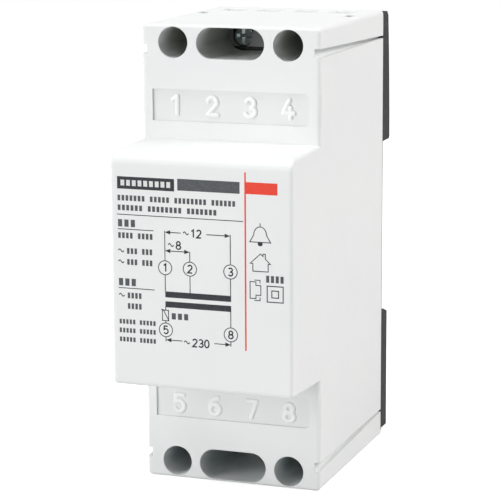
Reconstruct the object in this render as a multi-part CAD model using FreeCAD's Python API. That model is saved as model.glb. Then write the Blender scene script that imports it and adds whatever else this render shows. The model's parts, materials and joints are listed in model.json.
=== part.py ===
import FreeCAD, Part
import os

# Doorbell transformer, two module widths, snapped on a 35 mm top-hat rail.
# Millimetres. X runs across the width, -Y is the front, +Z is up.
# The origin is the middle of the rail, on the plane of the rail's flanges.

V = FreeCAD.Vector

# Driving sizes of the housing
WIDTH = 36.0
HEIGHT = 90.0
RAIL_TO_SHOULDER = 44.0
RAIL_TO_COVER = 2.1
NOSE_OUT = 16.5
NOSE_WINDOW = 45.0
RAIL = 35.0
WALL = 1.6
PLATE_T = 1.6
CORNER_R = 0.85
FRONT_EDGE_R = 0.65
PLATE_CORNER_R = 0.5
OVERCUT = 1.0
TOUCH = 0.01
HALF_W = WIDTH / 2
HALF_H = HEIGHT / 2
INNER_X = HALF_W - WALL
INNER_Z = HALF_H - WALL
SHOULDER_Y = -RAIL_TO_SHOULDER
NOSE_Y = SHOULDER_Y - NOSE_OUT
COVER_REAR_Y = -RAIL_TO_COVER
PLATE_FRONT_Y = -PLATE_T

# Raised nose with drafted top and bottom
NOSE_TOP_DRAFT = 0.4
NOSE_BOTTOM_DRAFT = 0.9
NOSE_BOTTOM_TRIM = 0.3
NOSE_TOP_R = 2.2
NOSE_BOTTOM_R = 0.8
NOSE_EDGE_R = 0.6
NOSE_TOP_FRONT = NOSE_WINDOW / 2
NOSE_TOP_ROOT = NOSE_TOP_FRONT + NOSE_TOP_DRAFT
NOSE_BOTTOM_FRONT = NOSE_BOTTOM_TRIM - NOSE_WINDOW / 2
NOSE_BOTTOM_ROOT = NOSE_BOTTOM_FRONT - NOSE_BOTTOM_DRAFT

# Terminal rows: four places a row, the same at the top and the bottom
PLACES = 4
ROW_MARGIN = 6.36
TERMINAL_INSET = 3.7
ACCESS_R = 3.0
ACCESS_SKIN = 0.45
TUNNEL_WALL = 0.9
TUNNEL_GAP = 0.2
PITCH = (WIDTH - 2 * ROW_MARGIN) / (PLACES - 1)
TERMINAL_X = [ROW_MARGIN - HALF_W + i * PITCH for i in range(PLACES)]
TERMINAL_Z = HALF_H - TERMINAL_INSET
ACCESS_Z = HALF_H - ACCESS_SKIN - ACCESS_R
UPPER_TERMINALS = {1: 0, 2: 1, 3: 2}
LOWER_TERMINALS = {5: 0, 8: 3}

# Number panels and side grooves of the cover
PANEL_MARGIN = 2.05
PANEL_OFF_NOSE = 3.5
PANEL_H = 6.1
PANEL_DEPTH = 0.35
PANEL_R = 1.0
GROOVE_INSET = 3.9
GROOVE_FRONT_H = 1.8
GROOVE_REAR_H = 0.5
GROOVE_DEPTH = 1.05
PANEL_HALF_X = HALF_W - PANEL_MARGIN
PANEL_IN_Z = NOSE_TOP_ROOT + PANEL_OFF_NOSE
PANEL_OUT_Z = PANEL_IN_Z + PANEL_H
GROOVE_IN_Z = HALF_H - GROOVE_INSET - GROOVE_FRONT_H

# Snap arms of the base and their windows in the end walls of the cover
ARM_PLAY = 0.2
ARM_W = 1.3
ARM_T = 1.45
ARM_REACH = 18.5
ARM_NOTCH_PLAY = 0.15
BARB_BACK = 14.4
BARB_LENGTH = 2.8
BARB_RISE = 1.25
WINDOW_PLAY = 0.2
WINDOW_SIDE_PLAY = 0.35
ARM_X1 = INNER_X - ARM_PLAY
ARM_X0 = ARM_X1 - ARM_W
ARM_TIP_Y = PLATE_FRONT_Y - ARM_REACH
BARB_CATCH_Y = PLATE_FRONT_Y - BARB_BACK
BARB_TIP_Y = BARB_CATCH_Y - BARB_LENGTH

# Terminal screw, rising cage and contact bar, stacked forward from the rim of the base
RIM_DEPTH = 3.4
BLOCK_REAR_WALL = 0.9
BLOCK_FRONT_WALL = 3.4
CLAMP_TRAVEL = 3.0
CAGE_LENGTH = 12.4
CAGE_END_PLAY = 0.3
CAGE_FRONT_ROOM = 1.0
CAGE_FRONT_T = 2.0
CAGE_REAR_T = 1.0
CAGE_HALF_X = 2.7
CAGE_HALF_Z = 1.85
CAGE_SIDE_T = 0.6
CAGE_PLAY = 0.1
WIRE_GAP = 4.4
BAR_T = 1.0
BAR_HALF_X = 1.5
BAR_PLAY = 0.05
BAR_END_GAP = 0.4
SCREW_R = 1.45
SCREW_HEAD_R = 1.9
SCREW_HEAD_T = 1.8
SCREW_PLAY = 0.05
HEAD_SEAT_PLAY = 0.05
SHANK_HOLE_R = 1.7
RECESS_W = 0.7
RECESS_L = 2.9
RECESS_DEPTH = 0.9
RIM_FRONT_Y = PLATE_FRONT_Y - RIM_DEPTH
CAGE_REAR_Y = RIM_FRONT_Y - BLOCK_REAR_WALL - CAGE_END_PLAY
CAGE_FRONT_Y = CAGE_REAR_Y - CAGE_LENGTH
BLOCK_FRONT_Y = CAGE_FRONT_Y - CLAMP_TRAVEL - CAGE_FRONT_ROOM - BLOCK_FRONT_WALL
TUNNEL_END_Y = BLOCK_FRONT_Y - TUNNEL_GAP
BAR_FRONT_Y = CAGE_REAR_Y - CAGE_REAR_T - WIRE_GAP - BAR_T
BAR_OUT_Z = INNER_Z - BAR_END_GAP

# Terminal blocks, and the wire entries in front of them
BLOCK_H = 7.3
BLOCK_PLAY = 0.1
BLOCK_SIDE_PLAY = 0.2
HEAD_WELL_R = 2.1
HEAD_WELL_DEPTH = 2.4
FOOT_SLOT_H = 0.75
FOOT_SLOT_DEPTH = 1.5
ENTRY_HALF = 2.1
ENTRY_LEAD = 0.4
ENTRY_LEAD_DEPTH = 0.8
BLOCK_IN_Z = TERMINAL_Z - BLOCK_H
ENTRY_Y = BAR_FRONT_Y + BAR_T + WIRE_GAP / 2

# Rear base with its two rail blocks
BASE_INSET = 0.1
FLANGE_T = 0.65
RIM_PLAY = 0.15
RIM_T = 1.2
RAIL_PLAY = 0.4
UPPER_TOP_GAP = 0.4
UPPER_TOP_DEPTH = 2.1
UPPER_MID_DEPTH = 3.05
UPPER_FOOT_DEPTH = 3.5
UPPER_TOP_CORNER = 0.9
UPPER_FOOT_CORNER = 0.4
POCKET_FLOOR_Y = 0.6
LOWER_END_GAP = 1.4
LOWER_BLOCK_T = 2.4
LOWER_BLOCK_RAMP = 0.9
LIP_MARGIN = 8.0
LIP_REACH = 2.0
LIP_Y0 = 1.3
LIP_T = 1.8
LIP_LEAD = 0.9
SHELF_T = 1.5
SHELF_MARGIN = 1.8
SHELF_DEPTH = 5.8
RAIL_HALF_GAP = RAIL / 2 + RAIL_PLAY
FLANGE_REAR_Y = COVER_REAR_Y + FLANGE_T
UPPER_BLOCK_TOP = HALF_H - UPPER_TOP_GAP
LOWER_BLOCK_BOTTOM = LOWER_END_GAP - HALF_H
SHELF_HALF_X = INNER_X - SHELF_MARGIN
SHELF_FRONT_Y = RIM_FRONT_Y - SHELF_DEPTH

# Rail latch, sliding along Z in a stepped channel of the lower block, and its meander spring
LATCH_HALF_X = 6.9
LATCH_NARROW_HALF_X = 4.9
LATCH_PLAY = 0.1
LATCH_STEP_Y = 1.15
LATCH_REAR_Y = 2.3
LATCH_FOOT = 2.1
LATCH_HEAD = 4.1
LATCH_WINDOW_HALF_X = 3.1
STOP_UP = 5.5
STOP_T = 1.6
STOP_PLAY = 0.05
STOP_SIDE_PLAY = 0.3
PRY_SLOT_HALF_X = 2.5
PRY_SLOT_UP = 1.4
PRY_SLOT_H = 1.8
SPRING_RUNS = 7
SPRING_T = 0.45
SPRING_BAND = 1.2
SPRING_Y0 = 0.5
SPRING_SIDE_PLAY = 0.3
SPRING_END_PLAY = 0.05
LATCH_BOTTOM = LOWER_BLOCK_BOTTOM + LATCH_FOOT
LATCH_WINDOW_TOP = -RAIL_HALF_GAP - LATCH_HEAD
STOP_BOTTOM = LATCH_BOTTOM + STOP_UP
STOP_TOP = STOP_BOTTOM + STOP_T
STOP_HALF_X = LATCH_WINDOW_HALF_X - STOP_SIDE_PLAY
PRY_SLOT_BOTTOM = LATCH_BOTTOM + PRY_SLOT_UP

# Two-chamber bobbin, windings and tapes, sized across by the housing
FLANGE_SIDE_PLAY = 0.5
FLANGE_END_PLAY = 0.2
FLANGE_LEG_PLAY = 0.4
BOBBIN_PLAY = 0.3
BOBBIN_T = 0.9
BOBBIN_FLANGE_T = 0.9
DIVIDER_T = 1.0
WINDING_BUILD = 5.3
WINDING_PLAY = 0.1
WINDING_SIDE_INSET = 0.9
WINDING_LEG_INSET = 0.7
WINDING_R = 4.0
TAPE_T = 0.4
TAPE_PLAY = 0.05
FLANGE_HALF_X = INNER_X - FLANGE_SIDE_PLAY
WINDING_HALF_X = FLANGE_HALF_X - WINDING_SIDE_INSET

# Laminated core with three legs along Z, as high and as far forward as the nose allows.
# Across the sheet: two outer legs and two windows of one leg width, and a double middle leg.
LEG = 8.0
CORE_PLAY = 0.6
CORE_NOSE_GAP = 0.8
STACK = 2 * (WINDING_HALF_X - WINDING_BUILD - WINDING_PLAY - BOBBIN_T - BOBBIN_PLAY)
CORE_HALF_Z = -NOSE_BOTTOM_FRONT - WALL - CORE_PLAY
LEG_LENGTH = 2 * (CORE_HALF_Z - LEG)
CORE_FRONT_Y = NOSE_Y + WALL + CORE_NOSE_GAP
CORE_W = 6 * LEG
CORE_REAR_Y = CORE_FRONT_Y + CORE_W
CORE_MID_Y = CORE_FRONT_Y + CORE_W / 2
FLANGE_HALF_Y = 2 * LEG - FLANGE_LEG_PLAY
FLANGE_OUT_Z = LEG_LENGTH / 2 - FLANGE_END_PLAY
WINDING_HALF_Y = FLANGE_HALF_Y - WINDING_LEG_INSET

# Cradle of the core on the base
CRADLE_PLAY = 0.1
CRADLE_T = 1.2
CRADLE_GRIP = 6.4
CHEEK_INSET = 1.5
RIB_T = 1.6
RIB_INSET = 2.4
RIB_END_INSET = 2.0
CRADLE_FRONT_Y = CORE_REAR_Y - CRADLE_GRIP
CRADLE_OUT_Z = CORE_HALF_Z + CRADLE_PLAY + CRADLE_T
RIB_X = STACK / 2 - RIB_INSET

# Winding ends and thermistor
BAR_TAIL_GAP = 0.5
LEAD_INSET_X = 2.2
TAP_INSET_X = 4.6
LEAD_INSET_Y = 1.8
LEAD_ROOT_DEPTH = 2.8
LEAD_FIRST = 1.2
LEAD_STEP = 1.0
LEAD_GAP = 0.05
LEAD_STRAIGHT = 1.5
SECONDARY_LEAD_R = 0.5
PRIMARY_LEAD_R = 0.4
NOTCH_W = 1.8
NOTCH_FRONT_PLAY = 1.2
PTC_R = 3.5
PTC_T = 2.2
PTC_BAR_GAP = 2.7
PTC_LEAD_R = 0.3
PTC_JOINT_OFF = 1.5
BAR_IN_Z = CRADLE_OUT_Z + BAR_TAIL_GAP
LEAD_OUT_X = WINDING_HALF_X - LEAD_INSET_X
TAP_LEAD_X = TAP_INSET_X - WINDING_HALF_X
LEAD_Y = CORE_MID_Y + WINDING_HALF_Y - LEAD_INSET_Y
LEAD_ROOT_Z = FLANGE_OUT_Z - LEAD_ROOT_DEPTH
LEAD_LEVELS = {2: 0, 3: 1, 1: 2, 8: 2}
PTC_Y = BAR_FRONT_Y - PTC_BAR_GAP - PTC_R
PTC_Z = -(BLOCK_IN_Z + BAR_IN_Z) / 2
PTC_JOINT_Z = -CORE_HALF_Z - PTC_JOINT_OFF


def box(x0, x1, y0, y1, z0, z1):
    return Part.makeBox(x1 - x0, y1 - y0, z1 - z0, V(x0, y0, z0))


def prism_x(profile_yz, x0, x1):
    """Closed (y, z) profile extruded along X."""
    points = [V(x0, y, z) for y, z in profile_yz]
    wire = Part.makePolygon(points + points[:1])
    return Part.Face(wire).extrude(V(x1 - x0, 0, 0))


def cylinder_y(radius, x, z, y0, y1):
    return Part.makeCylinder(radius, y1 - y0, V(x, y0, z), V(0, 1, 0))


def edges_along(shape, axis, test=None):
    """Straight edges parallel to an axis, with an optional test on the edge's middle."""
    picked = []
    for edge in shape.Edges:
        if not isinstance(edge.Curve, Part.Line):
            continue
        if edge.tangentAt(edge.FirstParameter).cross(axis).Length > TOUCH:
            continue
        if test is None or test(edge.CenterOfMass):
            picked.append(edge)
    return picked


def rounded_prism(x0, x1, y0, y1, z0, z1, radius):
    """Upright prism with its four vertical edges rounded."""
    plain = box(x0, x1, y0, y1, z0, z1)
    return plain.makeFillet(radius, edges_along(plain, V(0, 0, 1)))


def flipped(shape):
    """The same piece turned half a turn about the Y axis."""
    turned = shape.copy()
    turned.rotate(V(0, 0, 0), V(0, 1, 0), 180)
    return turned


def both_ends(shape):
    """A feature of the upper end together with its copy at the lower end."""
    return shape.fuse(shape.mirror(V(0, 0, 0), V(0, 0, 1)))


def both_sides(shape):
    """A feature of the right side together with its copy on the left."""
    return shape.fuse(shape.mirror(V(0, 0, 0), V(1, 0, 0)))


def save(node, shape):
    solid = shape.removeSplitter()
    if len(solid.Solids) == 1:
        solid = solid.Solids[0]
    solid.exportStep(os.path.join("parts", node + ".step"))


# Front cover

def nose_profile(inset, rear_y):
    """Side outline of the nose, set in by a wall thickness."""
    depth = SHOULDER_Y - NOSE_Y
    top_slope = (NOSE_TOP_ROOT - NOSE_TOP_FRONT) / depth
    bottom_slope = (NOSE_BOTTOM_ROOT - NOSE_BOTTOM_FRONT) / depth
    front = NOSE_Y + inset
    run = rear_y - NOSE_Y
    return [
        (front, NOSE_BOTTOM_FRONT + bottom_slope * inset + inset),
        (front, NOSE_TOP_FRONT + top_slope * inset - inset),
        (rear_y, NOSE_TOP_FRONT + top_slope * run - inset),
        (rear_y, NOSE_BOTTOM_FRONT + bottom_slope * run + inset),
    ]


def rounded_nose(inset, rear_y, half_x, top_r, bottom_r):
    nose = prism_x(nose_profile(inset, rear_y), -half_x, half_x)
    front = NOSE_Y + inset
    top = edges_along(nose, V(1, 0, 0), lambda c: abs(c.y - front) < TOUCH and c.z > 0)
    nose = nose.makeFillet(top_r, top)
    bottom = edges_along(nose, V(1, 0, 0), lambda c: abs(c.y - front) < TOUCH and c.z < 0)
    return nose.makeFillet(bottom_r, bottom)


def cover_outside():
    body = box(-HALF_W, HALF_W, SHOULDER_Y, COVER_REAR_Y, -HALF_H, HALF_H)
    body = body.makeFillet(CORNER_R, edges_along(body, V(0, 1, 0)))
    body = body.makeFillet(FRONT_EDGE_R, [e for e in body.Edges if e.CenterOfMass.y < SHOULDER_Y + TOUCH])
    bury_y = SHOULDER_Y + WALL
    nose = rounded_nose(0, bury_y, HALF_W, NOSE_TOP_R, NOSE_BOTTOM_R)
    rims = [e for e in nose.Edges
            if abs(abs(e.CenterOfMass.x) - HALF_W) < TOUCH and e.CenterOfMass.y < bury_y - TOUCH]
    return body.fuse(nose.makeFillet(NOSE_EDGE_R, rims))


def access_shape(radius, y0, y1):
    """Round hole, oblong over the two middle places, round hole."""
    first, second, third, fourth = TERMINAL_X
    rounds = [cylinder_y(radius, x, ACCESS_Z, y0, y1) for x in TERMINAL_X]
    middle = box(second, third, y0, y1, ACCESS_Z - radius, ACCESS_Z + radius)
    return middle.fuse(rounds)


def number_panel():
    front = SHOULDER_Y - OVERCUT
    panel = box(-PANEL_HALF_X, PANEL_HALF_X, front, SHOULDER_Y + PANEL_DEPTH, PANEL_IN_Z, PANEL_OUT_Z)
    return panel.makeFillet(PANEL_R, edges_along(panel, V(0, 1, 0), lambda c: c.x > 0))


def side_groove():
    """Groove along the depth of the side, narrowing towards the rear."""
    front = SHOULDER_Y - OVERCUT
    rear = COVER_REAR_Y + OVERCUT
    profile = [
        (front, GROOVE_IN_Z),
        (front, GROOVE_IN_Z + GROOVE_FRONT_H),
        (rear, GROOVE_IN_Z + GROOVE_REAR_H),
        (rear, GROOVE_IN_Z),
    ]
    return prism_x(profile, HALF_W - GROOVE_DEPTH, HALF_W + OVERCUT)


def rectangle_z(x, y, half, z):
    signs = [(-1, -1), (1, -1), (1, 1), (-1, 1), (-1, -1)]
    return Part.makePolygon([V(x + i * half, y + j * half, z) for i, j in signs])


def wire_entry(x):
    """Square hole through the end wall with a tapered lead-in."""
    y0 = ENTRY_Y - ENTRY_HALF
    y1 = ENTRY_Y + ENTRY_HALF
    hole = box(x - ENTRY_HALF, x + ENTRY_HALF, y0, y1, INNER_Z - OVERCUT, HALF_H + OVERCUT)
    outer = rectangle_z(x, ENTRY_Y, ENTRY_HALF + ENTRY_LEAD, HALF_H)
    inner = rectangle_z(x, ENTRY_Y, ENTRY_HALF, HALF_H - ENTRY_LEAD_DEPTH)
    return hole.fuse(Part.makeLoft([inner, outer], True))


def snap_window():
    x0 = ARM_X0 - WINDOW_SIDE_PLAY
    x1 = ARM_X1 + WINDOW_PLAY / 2
    y0 = BARB_TIP_Y - WINDOW_PLAY
    y1 = BARB_CATCH_Y + WINDOW_PLAY
    return box(x0, x1, y0, y1, INNER_Z - OVERCUT, HALF_H + OVERCUT)


def front_cover():
    cover = cover_outside()
    nose_inner_r = NOSE_TOP_R - WALL
    shoulder_inner_y = SHOULDER_Y + WALL
    nose_hollow = rounded_nose(WALL, shoulder_inner_y + OVERCUT, INNER_X, nose_inner_r, NOSE_BOTTOM_R)
    hollow = box(-INNER_X, INNER_X, shoulder_inner_y, COVER_REAR_Y + OVERCUT, -INNER_Z, INNER_Z)
    cover = cover.cut([hollow, nose_hollow])
    sleeve_limit = box(-INNER_X, INNER_X, shoulder_inner_y - WALL / 2, TUNNEL_END_Y, 0, INNER_Z + WALL / 2)
    sleeves = access_shape(ACCESS_R + TUNNEL_WALL, SHOULDER_Y, TUNNEL_END_Y).common(sleeve_limit)
    cover = cover.fuse(both_ends(sleeves))
    cover = cover.cut(both_ends(access_shape(ACCESS_R, SHOULDER_Y - OVERCUT, TUNNEL_END_Y + OVERCUT)))
    cover = cover.cut(both_ends(number_panel()))
    cover = cover.cut(both_sides(both_ends(side_groove())))
    for x in TERMINAL_X:
        cover = cover.cut(both_ends(wire_entry(x)))
    return cover.cut(both_sides(both_ends(snap_window())))


# Rear base

def snap_arm():
    """Sprung arm along the end wall, with a barb that catches in the window."""
    top = INNER_Z - RIM_PLAY
    arm = box(ARM_X0, ARM_X1, ARM_TIP_Y, PLATE_FRONT_Y, top - ARM_T, top)
    barb_profile = [(BARB_TIP_Y, top), (BARB_CATCH_Y, top), (BARB_CATCH_Y, top + BARB_RISE)]
    return arm.fuse(prism_x(barb_profile, ARM_X0, ARM_X1))


def rim():
    outer_x = INNER_X - RIM_PLAY
    outer_z = INNER_Z - RIM_PLAY
    inner_x = outer_x - RIM_T
    inner_z = outer_z - RIM_T
    outer = box(-outer_x, outer_x, RIM_FRONT_Y, PLATE_FRONT_Y, -outer_z, outer_z)
    return outer.cut(box(-inner_x, inner_x, RIM_FRONT_Y, PLATE_FRONT_Y, -inner_z, inner_z))


def upper_outline(x):
    """Side outline of the upper rail block, with a back that bulges towards its foot."""
    foot = RAIL_HALF_GAP
    top = UPPER_BLOCK_TOP
    middle = (foot + top) / 2
    top_corner = UPPER_TOP_CORNER
    foot_corner = UPPER_FOOT_CORNER
    start = V(x, FLANGE_REAR_Y, foot)
    heel = V(x, UPPER_FOOT_DEPTH - foot_corner, foot)
    back_foot = V(x, UPPER_FOOT_DEPTH, foot + foot_corner)
    back_middle = V(x, UPPER_MID_DEPTH, middle)
    back_top = V(x, UPPER_TOP_DEPTH, top - top_corner)
    crown = V(x, UPPER_TOP_DEPTH - top_corner, top)
    end = V(x, FLANGE_REAR_Y, top)
    return Part.Wire([
        Part.makeLine(start, heel),
        Part.makeLine(heel, back_foot),
        Part.Arc(back_foot, back_middle, back_top).toShape(),
        Part.makeLine(back_top, crown),
        Part.makeLine(crown, end),
        Part.makeLine(end, start),
    ])


def upper_block(half_x):
    """Upper rail block with the fixed hook that reaches behind the rail."""
    block = Part.Face(upper_outline(-half_x)).extrude(V(2 * half_x, 0, 0))
    lip_z = RAIL_HALF_GAP - LIP_REACH
    lip_profile = [
        (LIP_Y0, RAIL_HALF_GAP),
        (LIP_Y0, lip_z + LIP_LEAD),
        (LIP_Y0 + LIP_LEAD, lip_z),
        (LIP_Y0 + LIP_T, lip_z),
        (LIP_Y0 + LIP_T, RAIL_HALF_GAP),
    ]
    lip_half_x = HALF_W - LIP_MARGIN
    return block.fuse(prism_x(lip_profile, -lip_half_x, lip_half_x))


def latch_channel():
    """Stepped channel that guides the latch, open at both ends."""
    wide = LATCH_HALF_X + LATCH_PLAY
    narrow = LATCH_NARROW_HALF_X + LATCH_PLAY
    step_y = LATCH_STEP_Y + LATCH_PLAY
    bottom = LOWER_BLOCK_BOTTOM - OVERCUT
    top = OVERCUT - RAIL_HALF_GAP
    deep = box(-wide, wide, 0, step_y, bottom, top)
    return deep.fuse(box(-narrow, narrow, 0, LOWER_BLOCK_T + OVERCUT, bottom, top))


def lower_block(half_x):
    profile = [
        (FLANGE_REAR_Y, -RAIL_HALF_GAP),
        (0.0, -RAIL_HALF_GAP),
        (LOWER_BLOCK_T, -RAIL_HALF_GAP - LOWER_BLOCK_RAMP),
        (LOWER_BLOCK_T, LOWER_BLOCK_BOTTOM),
        (FLANGE_REAR_Y, LOWER_BLOCK_BOTTOM),
    ]
    return prism_x(profile, -half_x, half_x).cut(latch_channel())


def core_cradle():
    """Ribs behind the core, cheeks beside it and stops above and below it."""
    rib_half_z = CORE_HALF_Z - RIB_END_INSET
    rib = box(RIB_X - RIB_T / 2, RIB_X + RIB_T / 2, CORE_REAR_Y, PLATE_FRONT_Y, -rib_half_z, rib_half_z)
    cheek_x = STACK / 2 + CRADLE_PLAY
    cheek_in_z = LEG_LENGTH / 2 + CHEEK_INSET
    cheek_out_z = CORE_HALF_Z - CHEEK_INSET
    cheek = box(cheek_x, cheek_x + CRADLE_T, CRADLE_FRONT_Y, PLATE_FRONT_Y, cheek_in_z, cheek_out_z)
    stop_x = RIB_X + RIB_T / 2
    stop = box(-stop_x, stop_x, CRADLE_FRONT_Y, PLATE_FRONT_Y, CORE_HALF_Z + CRADLE_PLAY, CRADLE_OUT_Z)
    return both_sides(rib).fuse([both_sides(both_ends(cheek)), both_ends(stop)])


def rear_base():
    plate_x = INNER_X - RIM_PLAY
    plate_z = INNER_Z - RIM_PLAY
    plate = box(-plate_x, plate_x, PLATE_FRONT_Y, 0, -plate_z, plate_z)
    plate = plate.makeFillet(PLATE_CORNER_R, edges_along(plate, V(0, 1, 0)))
    half_x = HALF_W - BASE_INSET
    flange = box(-half_x, half_x, COVER_REAR_Y, FLANGE_REAR_Y, -UPPER_BLOCK_TOP, UPPER_BLOCK_TOP)
    flange = flange.makeFillet(CORNER_R, edges_along(flange, V(0, 1, 0)))
    base = plate.fuse([flange, rim(), both_sides(both_ends(snap_arm()))])
    base = base.fuse([upper_block(half_x), lower_block(half_x)])
    shelf = box(-SHELF_HALF_X, SHELF_HALF_X, SHELF_FRONT_Y, PLATE_FRONT_Y, BLOCK_IN_Z - SHELF_T, BLOCK_IN_Z)
    stop = box(-STOP_HALF_X, STOP_HALF_X, 0, LATCH_REAR_Y, STOP_BOTTOM, STOP_TOP)
    base = base.fuse([core_cradle(), both_ends(shelf), stop])
    pocket_x = INNER_X - RIM_PLAY - RIM_T
    pocket = box(-pocket_x, pocket_x, PLATE_FRONT_Y, POCKET_FLOOR_Y, CRADLE_OUT_Z, BLOCK_IN_Z - SHELF_T)
    return base.cut(pocket)


# Rail latch and its spring

def rail_latch():
    """Stepped slide with a hook at the top, a spring window and a slot for prying it down."""
    top = -RAIL_HALF_GAP
    wide = box(-LATCH_HALF_X, LATCH_HALF_X, LATCH_PLAY, LATCH_STEP_Y, LATCH_BOTTOM, top)
    hook_profile = [
        (LATCH_STEP_Y, LATCH_BOTTOM),
        (LATCH_STEP_Y, top),
        (LIP_Y0, top),
        (LIP_Y0, top + LIP_REACH),
        (LATCH_REAR_Y - LIP_LEAD / 2, top + LIP_REACH),
        (LATCH_REAR_Y, top + LIP_REACH - LIP_LEAD),
        (LATCH_REAR_Y, LATCH_BOTTOM),
    ]
    latch = wide.fuse(prism_x(hook_profile, -LATCH_NARROW_HALF_X, LATCH_NARROW_HALF_X))
    rear = LATCH_REAR_Y + OVERCUT
    window_bottom = STOP_BOTTOM - STOP_PLAY
    pry_top = PRY_SLOT_BOTTOM + PRY_SLOT_H
    window = box(-LATCH_WINDOW_HALF_X, LATCH_WINDOW_HALF_X, 0, rear, window_bottom, LATCH_WINDOW_TOP)
    pry_slot = box(-PRY_SLOT_HALF_X, PRY_SLOT_HALF_X, 0, rear, PRY_SLOT_BOTTOM, pry_top)
    return latch.cut([window, pry_slot])


def meander_path(half_run, step, top_z, y):
    """Level runs joined by half-round bends, from the top down."""
    radius = step / 2
    edges = []
    side = 1
    for run in range(SPRING_RUNS):
        z = top_z - run * step
        edges.append(Part.makeLine(V(-side * half_run, y, z), V(side * half_run, y, z)))
        if run < SPRING_RUNS - 1:
            turn = V(side * (half_run + radius), y, z - radius)
            edges.append(Part.Arc(V(side * half_run, y, z), turn, V(side * half_run, y, z - step)).toShape())
        side = -side
    return Part.Wire(edges)


def latch_spring():
    """Flat meander spring between the stop of the base and the top of the latch window."""
    seat = SPRING_T / 2 + SPRING_END_PLAY
    top_z = LATCH_WINDOW_TOP - seat
    step = (top_z - STOP_TOP - seat) / (SPRING_RUNS - 1)
    half_run = LATCH_WINDOW_HALF_X - SPRING_SIDE_PLAY - SPRING_T / 2 - step / 2
    path = meander_path(half_run, step, top_z, SPRING_Y0)
    z0 = top_z - SPRING_T / 2
    z1 = top_z + SPRING_T / 2
    y1 = SPRING_Y0 + SPRING_BAND
    x = -half_run
    corners = [V(x, SPRING_Y0, z0), V(x, y1, z0), V(x, y1, z1), V(x, SPRING_Y0, z1)]
    return path.makePipeShell([Part.makePolygon(corners + corners[:1])], True, False)


# Terminals

def terminal_block():
    """Upper block: pockets open towards the end wall, wells in front of the screw heads."""
    half_x = INNER_X - BLOCK_SIDE_PLAY
    out_z = INNER_Z - BLOCK_PLAY
    block = box(-half_x, half_x, BLOCK_FRONT_Y, RIM_FRONT_Y, BLOCK_IN_Z, out_z)
    pocket_half_x = CAGE_HALF_X + CAGE_PLAY
    pocket_y0 = BLOCK_FRONT_Y + BLOCK_FRONT_WALL
    pocket_y1 = RIM_FRONT_Y - BLOCK_REAR_WALL
    pocket_z = TERMINAL_Z - CAGE_HALF_Z - CAGE_PLAY
    slot_half_x = BAR_HALF_X + BAR_PLAY
    slot_y0 = BAR_FRONT_Y - BAR_PLAY
    slot_y1 = BAR_FRONT_Y + BAR_T + BAR_PLAY
    slot_z0 = BLOCK_IN_Z - OVERCUT
    slot_z1 = pocket_z + OVERCUT
    front_y = BLOCK_FRONT_Y - OVERCUT
    well_y = BLOCK_FRONT_Y + HEAD_WELL_DEPTH
    mouth_z = out_z + OVERCUT
    cuts = []
    for x in TERMINAL_X:
        cuts.append(box(x - pocket_half_x, x + pocket_half_x, pocket_y0, pocket_y1, pocket_z, mouth_z))
        cuts.append(box(x - slot_half_x, x + slot_half_x, slot_y0, slot_y1, slot_z0, slot_z1))
        cuts.append(cylinder_y(HEAD_WELL_R, x, TERMINAL_Z, front_y, well_y))
        cuts.append(box(x - HEAD_WELL_R, x + HEAD_WELL_R, front_y, well_y, TERMINAL_Z, mouth_z))
        cuts.append(cylinder_y(SHANK_HOLE_R, x, TERMINAL_Z, well_y - OVERCUT, pocket_y0 + OVERCUT))
    arm_z = INNER_Z - RIM_PLAY - ARM_T - ARM_NOTCH_PLAY
    arm_x = ARM_X0 - ARM_NOTCH_PLAY
    arm_y = ARM_TIP_Y - ARM_NOTCH_PLAY
    notch = box(arm_x, half_x + OVERCUT, arm_y, RIM_FRONT_Y + OVERCUT, arm_z, mouth_z)
    foot_z = ACCESS_Z - ACCESS_R
    foot_half_x = TERMINAL_X[2] + ACCESS_R
    foot_y = BLOCK_FRONT_Y + FOOT_SLOT_DEPTH
    foot_slot = box(-foot_half_x, foot_half_x, front_y, foot_y, foot_z, foot_z + FOOT_SLOT_H)
    return block.cut(cuts + [both_sides(notch), foot_slot])


def terminal_screw(x, z):
    seat_y = BLOCK_FRONT_Y + HEAD_WELL_DEPTH - HEAD_SEAT_PLAY
    head_y = seat_y - SCREW_HEAD_T
    tip_y = BAR_FRONT_Y - BAR_PLAY
    head = cylinder_y(SCREW_HEAD_R, x, z, head_y, seat_y)
    shank = cylinder_y(SCREW_R, x, z, seat_y, tip_y)
    long_half = RECESS_L / 2
    short_half = RECESS_W / 2
    bottom_y = head_y + RECESS_DEPTH
    front_y = head_y - OVERCUT
    upright = box(x - short_half, x + short_half, front_y, bottom_y, z - long_half, z + long_half)
    level = box(x - long_half, x + long_half, front_y, bottom_y, z - short_half, z + short_half)
    return head.fuse(shank).cut(upright.fuse(level))


def terminal_cage(x, z):
    """Loop that the screw draws forward, stored fully open."""
    cage = box(x - CAGE_HALF_X, x + CAGE_HALF_X, CAGE_FRONT_Y, CAGE_REAR_Y, z - CAGE_HALF_Z, z + CAGE_HALF_Z)
    inner_x = CAGE_HALF_X - CAGE_SIDE_T
    plate_y = CAGE_FRONT_Y + CAGE_FRONT_T
    loop = box(x - inner_x, x + inner_x, plate_y, CAGE_REAR_Y - CAGE_REAR_T,
               z - CAGE_HALF_Z - OVERCUT, z + CAGE_HALF_Z + OVERCUT)
    thread = cylinder_y(SCREW_R + SCREW_PLAY, x, z, CAGE_FRONT_Y - OVERCUT, plate_y + OVERCUT)
    return cage.cut([loop, thread])


def contact_bar(x, end):
    """Fixed strip through the cage, with a tail towards the windings; end is +1 at the top, -1 below."""
    z0, z1 = sorted((end * BAR_IN_Z, end * BAR_OUT_Z))
    return box(x - BAR_HALF_X, x + BAR_HALF_X, BAR_FRONT_Y, BAR_FRONT_Y + BAR_T, z0, z1)


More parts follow.
